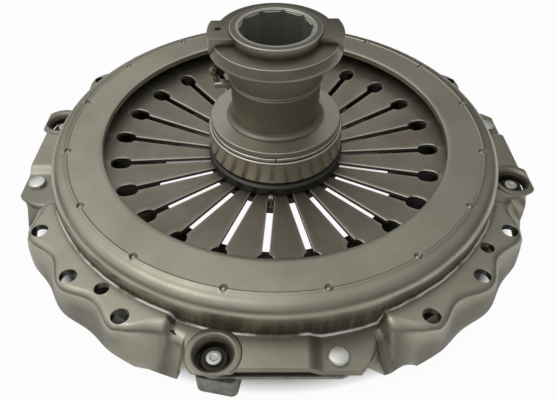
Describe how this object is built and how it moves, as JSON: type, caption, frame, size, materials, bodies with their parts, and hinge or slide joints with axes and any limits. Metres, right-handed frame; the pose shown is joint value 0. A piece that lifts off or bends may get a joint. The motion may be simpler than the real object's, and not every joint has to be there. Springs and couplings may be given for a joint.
{
  "type": "clutch pressure plate",
  "caption": "Pull-type diaphragm spring clutch cover with its release bearing: wavy drawn cover, slotted spring, cast plate on leaf straps, and a forked sleeve on a ball bearing.",
  "frame": {"origin": "on the clutch's axis, at the level of the pressure plate's friction face, which is what it stands on", "axes": "+Z along the axis from the flywheel side towards the gearbox side, -Y the side that faces the camera in the picture"},
  "size_m": [0.4714, 0.4714, 0.1675],
  "materials": {
    "pressed_steel": "satin",
    "spring_steel": "satin",
    "strap_steel": "satin",
    "rivet_steel": "bright",
    "plate_iron": "rough cast, ground face",
    "turned_steel": "turned",
    "bearing_steel": "polished",
    "sleeve_steel": "satin",
    "bush_liner": "matt",
    "cage_nylon": "matt",
    "nipple_steel": "bright"
  },
  "bodies": {
    "cover_body": {"cover": "pressed_steel", "fulcrum_ring": "spring_steel", "cover_rivets": "rivet_steel", "diaphragm_spring": "spring_steel", "strap_leaf_front_upper": "strap_steel", "strap_leaf_front_middle": "strap_steel", "strap_leaf_front_lower": "strap_steel", "strap_leaf_right_upper": "strap_steel", "strap_leaf_right_middle": "strap_steel", "strap_leaf_right_lower": "strap_steel", "strap_leaf_rear_upper": "strap_steel", "strap_leaf_rear_middle": "strap_steel", "strap_leaf_rear_lower": "strap_steel", "strap_leaf_left_upper": "strap_steel", "strap_leaf_left_middle": "strap_steel", "strap_leaf_left_lower": "strap_steel"},
    "plate_body": {"pressure_plate": "plate_iron", "plate_rivets": "rivet_steel", "rivet_bushes": "turned_steel"},
    "housing_body": {"bearing_housing": "turned_steel", "outer_race": "bearing_steel", "race_shields": "strap_steel", "seat_ring": "turned_steel", "thrust_ring": "turned_steel", "keeper_ring": "spring_steel", "locating_pin": "rivet_steel", "wire_ring": "spring_steel"},
    "sleeve_body": {"bearing_sleeve": "sleeve_steel", "guide_bush_upper": "bush_liner", "guide_bush_lower": "bush_liner", "inner_race": "bearing_steel", "grease_nipple": "nipple_steel"},
    "cage_body": {"ball_cage": "cage_nylon", "bearing_balls": "bearing_steel"}
  },
  "joints": [
    {"name": "release_travel", "type": "slide", "parent": "cover_body", "child": "housing_body", "axis": [0, 0, 1], "range_m": [0, 0.012], "stiffness_N_per_m": 20000, "deforming": ["diaphragm_spring"]},
    {"name": "plate_lift", "type": "slide", "parent": "cover_body", "child": "plate_body", "axis": [0, 0, 1], "range_m": [0, 0.0024], "deforming": ["strap_leaf_front_upper", "strap_leaf_front_middle", "strap_leaf_front_lower", "strap_leaf_right_upper", "strap_leaf_right_middle", "strap_leaf_right_lower", "strap_leaf_rear_upper", "strap_leaf_rear_middle", "strap_leaf_rear_lower", "strap_leaf_left_upper", "strap_leaf_left_middle", "strap_leaf_left_lower"]},
    {"name": "sleeve_spin", "type": "hinge", "parent": "housing_body", "child": "sleeve_body", "pos_m": [0, 0, 0.063], "axis": [0, 0, 1], "continuous": true},
    {"name": "cage_spin", "type": "hinge", "parent": "housing_body", "child": "cage_body", "pos_m": [0, 0, 0.063], "axis": [0, 0, 1], "continuous": true}
  ],
  "couplings": [
    {"joint": "plate_lift", "follows": "release_travel", "ratio": 0.2},
    {"joint": "cage_spin", "follows": "sleeve_spin", "ratio": 0.4446}
  ]
}
